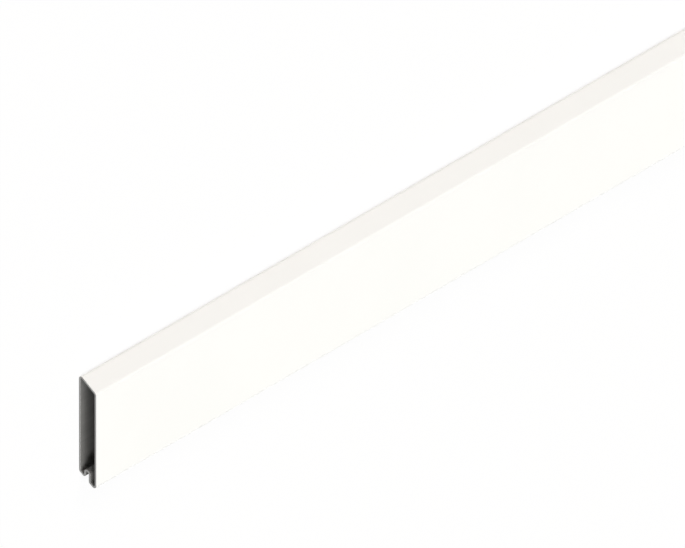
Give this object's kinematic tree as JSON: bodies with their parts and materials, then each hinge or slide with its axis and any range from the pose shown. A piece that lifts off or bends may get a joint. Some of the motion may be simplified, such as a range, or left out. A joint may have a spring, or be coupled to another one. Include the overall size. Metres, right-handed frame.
{
  "type": "aluminium cladding profile",
  "caption": "Hollow extruded cladding bar with a rhombus section, sloping edges and a clip groove along its lower edge.",
  "frame": {"origin": "middle of the bar's length and height, on the plane of its back face, which is the underside as it lies", "axes": "+X along the bar, +Y towards the edge that is uppermost on a wall, +Z out of the visible face"},
  "size_m": [2, 0.1148, 0.022],
  "materials": {
    "profile": "satin"
  },
  "bodies": {
    "root": {"cladding_profile": "profile"}
  },
  "joints": []
}
